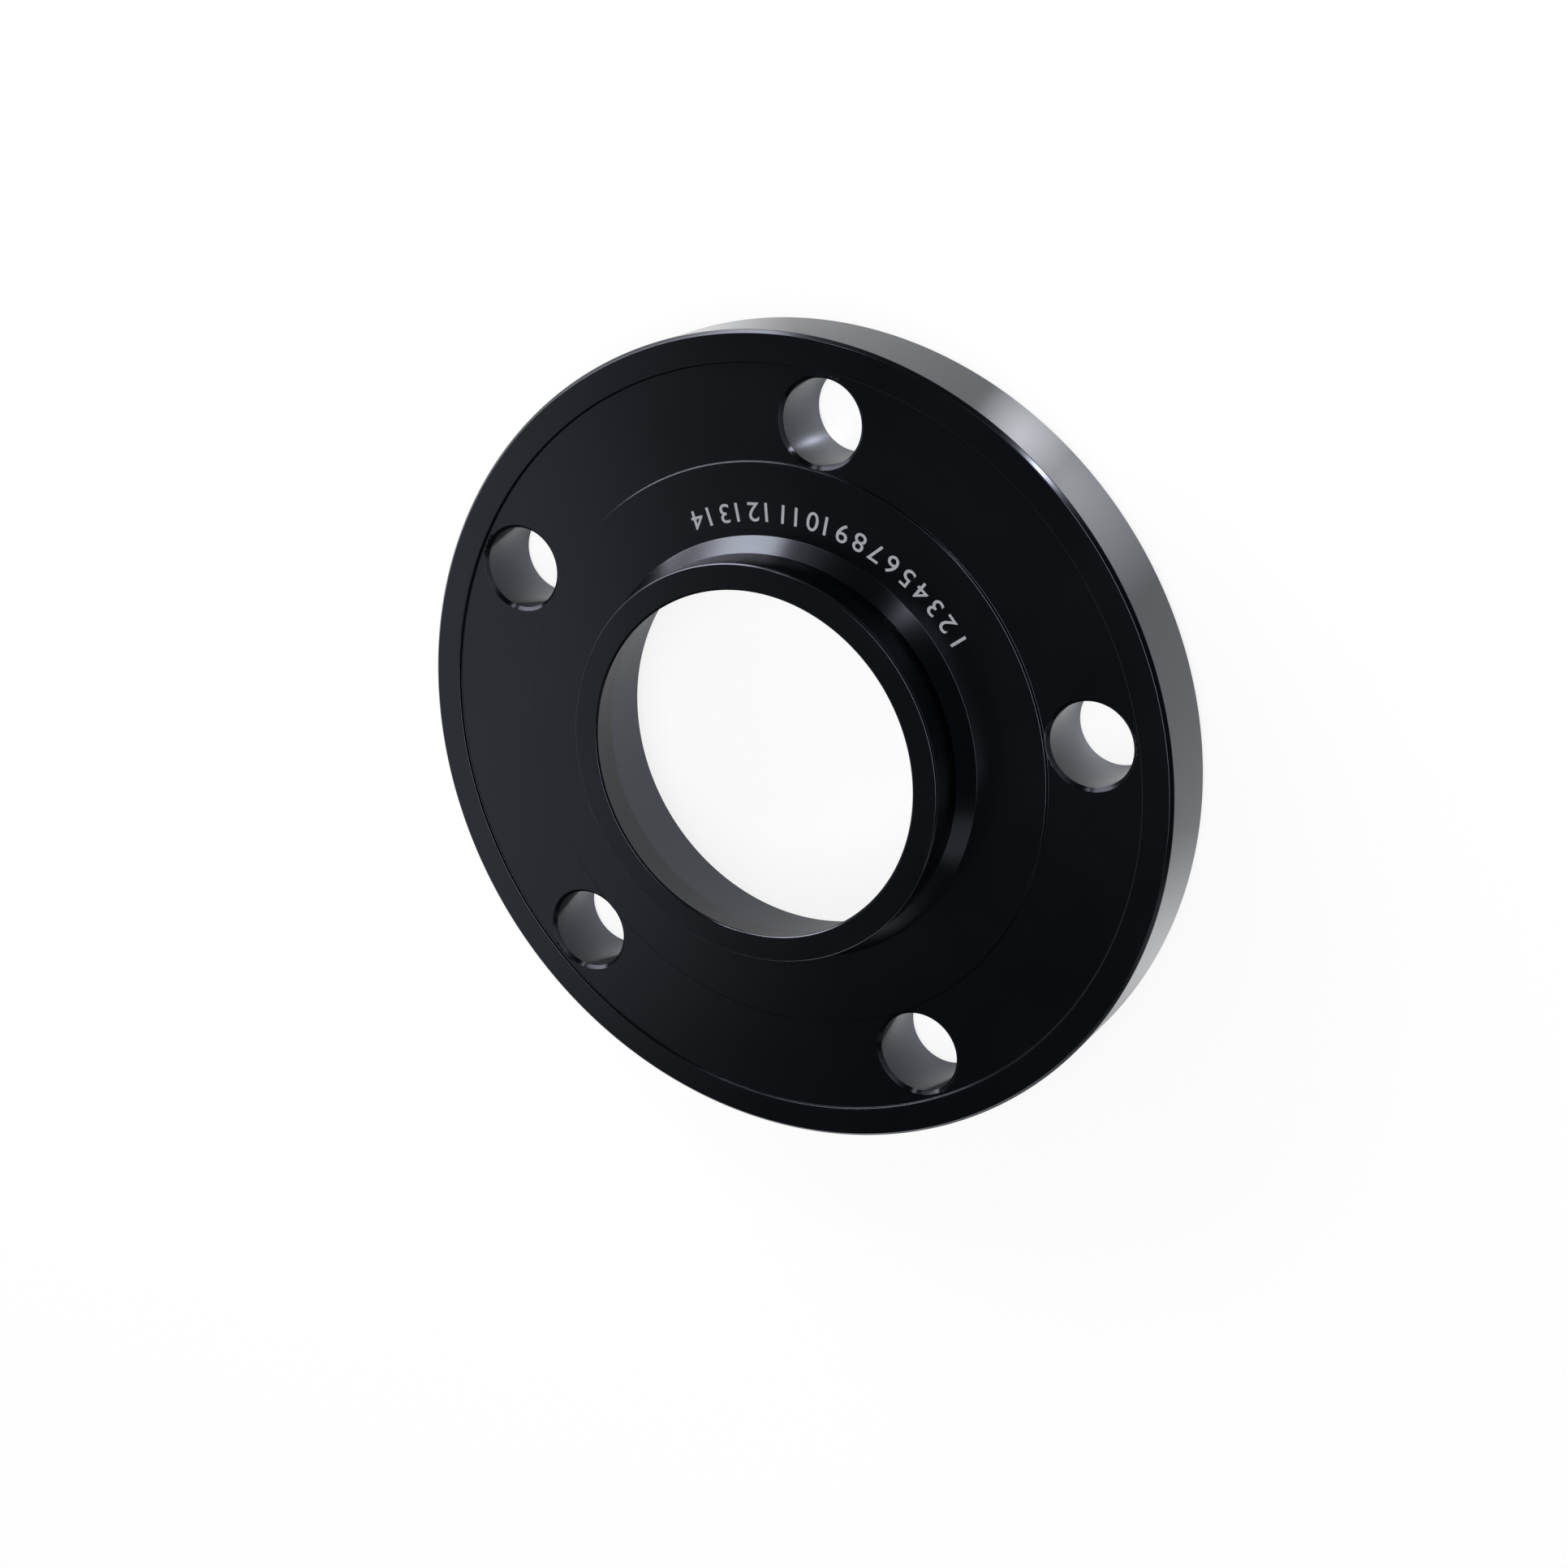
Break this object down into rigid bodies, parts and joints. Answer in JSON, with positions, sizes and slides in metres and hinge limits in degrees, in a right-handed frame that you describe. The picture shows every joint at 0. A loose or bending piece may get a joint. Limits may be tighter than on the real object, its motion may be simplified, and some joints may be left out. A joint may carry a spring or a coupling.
{
  "type": "wheel spacer",
  "caption": "Flat aluminium ring with a centring lip and bolt holes, fitted between a car's wheel hub and its wheel to set the wheel further out.",
  "frame": {"origin": "centre of the hub-side face, which the spacer lies on", "axes": "+Z along the wheel's axis, towards the wheel and the end of the centring lip; +X through the first bolt hole"},
  "size_m": [0.1484, 0.1484, 0.025],
  "materials": {
    "anodised_body": "black anodised, satin, with fine turning marks",
    "laser_marking": "matt light grey where a laser took the dye out of the anodising"
  },
  "bodies": {
    "root": {"wheel_spacer": "anodised_body"}
  },
  "joints": []
}
